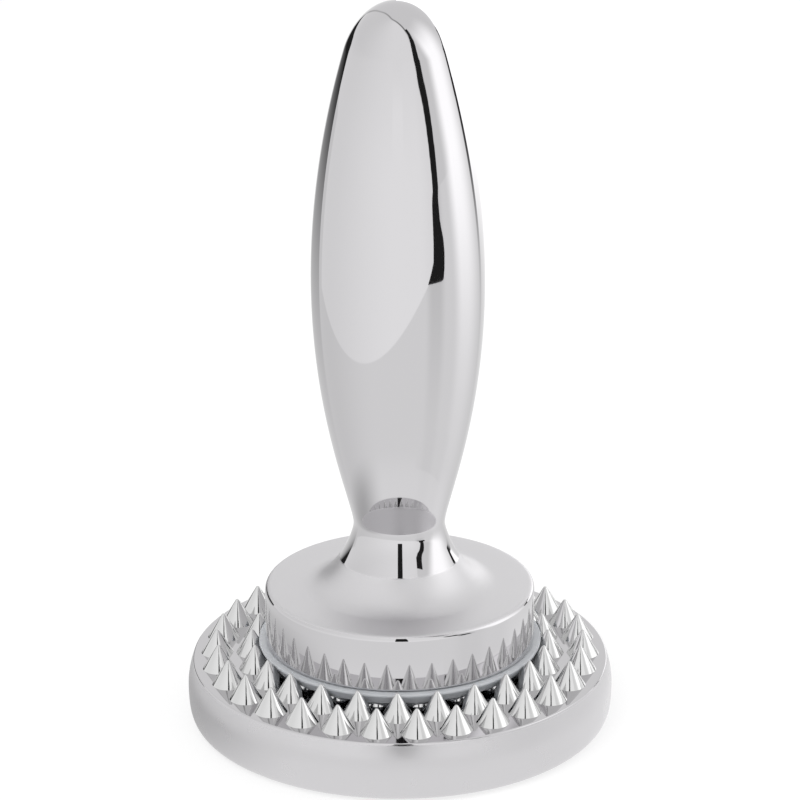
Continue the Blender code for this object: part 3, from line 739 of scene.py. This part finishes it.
FLOOR_HEIGHT = -0.0002
distances = np.concatenate(([0.0], np.geomspace(0.03, 3.05, 70)))
azimuth, distance = np.meshgrid(np.linspace(-180, 180, 721), distances)
points = around(distance, np.radians(azimuth), FLOOR_HEIGHT)
make_card("floor", points, floor_glow(azimuth, distance), floor_material, shown_to_camera=True)

# %% Small cards close to the crown
# The foot and the spikes show a thin dark line, the tent's ribbon, and the handle doesn't: a white
# shield hides it. The crown shows the gap higher up than the spikes do: a dark card makes it longer.
SHIELD_REACH, SHIELD_DEPTH, SHIELD_HEIGHT = 0.043, -0.010, 0.140
across, up = np.meshgrid(np.linspace(-0.006, 0.008, 8), np.linspace(-62, 68, 80))
points = np.stack((across, SHIELD_DEPTH - SHIELD_REACH * np.cos(np.radians(up)),
                   SHIELD_HEIGHT + SHIELD_REACH * np.sin(np.radians(up))), axis=-1)
shield_azimuth = np.degrees(np.arctan2(points[..., 0], -points[..., 1]))
make_card("crown_shield", points, sweep_glow(shield_azimuth, np.maximum(up, 0)), card_material)

share, up = np.meshgrid(np.linspace(0, 1, 16), np.linspace(GAP_TOP - 1.5, 62, 40))
left, right = np.interp(up, GAP_HEIGHTS, GAP_LEFT), np.interp(up, GAP_HEIGHTS, GAP_RIGHT)
CROWN_GAP_CENTRE, CROWN_GAP_REACH = (0.004, -0.008, 0.147), 0.18
points = np.array(CROWN_GAP_CENTRE) + CROWN_GAP_REACH * direction(left + share * (right - left), up)
make_card("crown_gap", points, np.full(share.shape, DARK_GLOW), card_material)

# %% A low card at the right of the disc
# It stands 25 mm outside the disc. The disc's side shows it in place of the gap and the strip light behind
# it, which evens that side out.
LOW_CARD_RADIUS, LOW_CARD_GLOW_AT = 0.070, 0.10
azimuth, height = np.meshgrid(np.linspace(30, 88, 59), np.linspace(0.0006, 0.0240, 6))
points = around(LOW_CARD_RADIUS, np.radians(azimuth), height)
make_card("low_card", points, floor_glow(azimuth, np.full(azimuth.shape, LOW_CARD_GLOW_AT)), card_material)

# %% [markdown]
# ## Light
# The world lights everything softly and evenly, and two big soft lamps give the silicone and the
# floor their shading. Together they light a surface at about 1, so that a colour renders as written.

# %% World and lamps
world = bpy.data.worlds.new("studio_world")
bpy.context.scene.world = world
world.use_nodes = True
tree = world.node_tree
tree.nodes.clear()
rays = tree.nodes.new("ShaderNodeLightPath")
watched = math_node(tree, "MAXIMUM", rays.outputs["Is Camera Ray"], rays.outputs["Is Glossy Ray"])
watched = math_node(tree, "MAXIMUM", watched, rays.outputs["Is Transmission Ray"])
soft = add_node(tree, "ShaderNodeBackground", Color=(1, 1, 1, 1), Strength=0.72)
plain = add_node(tree, "ShaderNodeBackground", Color=(1, 1, 1, 1), Strength=1.0)
mixed = add_node(tree, "ShaderNodeMixShader", Fac=watched)
tree.links.new(soft.outputs[0], mixed.inputs[1])
tree.links.new(plain.outputs[0], mixed.inputs[2])
output = tree.nodes.new("ShaderNodeOutputWorld")
tree.links.new(mixed.outputs[0], output.inputs["Surface"])


def soft_lamp(name, azimuth, elevation, distance, size, power):
    """A square area lamp that faces the mallet; the steel sees the cards instead of it."""
    lamp = bpy.data.lights.new(name, "AREA")
    lamp.size = size
    lamp.energy = power
    holder = bpy.data.objects.new(name, lamp)
    towards = direction(azimuth, elevation)
    holder.location = towards * distance + np.array([0, 0, 0.05])
    holder.rotation_mode = "QUATERNION"
    holder.rotation_quaternion = Vector(towards).to_track_quat("Z", "Y")
    holder.visible_glossy = False
    bpy.context.scene.collection.objects.link(holder)
    print(f"{name}: {power} W at {distance} m")


soft_lamp("front_left_softbox", -40, 50, 1.2, 0.9, 4.5)
soft_lamp("right_softbox", 95, 35, 1.2, 0.9, 3.0)

# %% [markdown]
# ## Camera
# Its place and lens come from a fit to the mallet's circles and outline: about 20 degrees above the
# horizon, 0.69 m away, with a long lens. A small roll leans the handle to the left, as in the photo.

# %% Camera
CAMERA_AT, LOOK_AT, ROLL = Vector((0.0003, -0.6475, 0.3109)), Vector((0.0003, 0, 0.07004)), 0.0055
SENSOR_WIDTH, LENS = 36.0, 150.81
camera_data = bpy.data.cameras.new("camera")
camera_data.sensor_width = SENSOR_WIDTH
camera_data.lens = LENS
camera = bpy.data.objects.new("camera", camera_data)
bpy.context.scene.collection.objects.link(camera)
camera.location = CAMERA_AT
facing = (LOOK_AT - CAMERA_AT).to_track_quat("-Z", "Y").to_matrix()
camera.rotation_euler = (facing @ Matrix.Rotation(-ROLL, 3, "Z")).to_euler()
bpy.context.scene.camera = camera
bpy.context.scene.view_settings.view_transform = "Standard"
print("camera", round((LOOK_AT - CAMERA_AT).length, 3), "m from its look-at point")
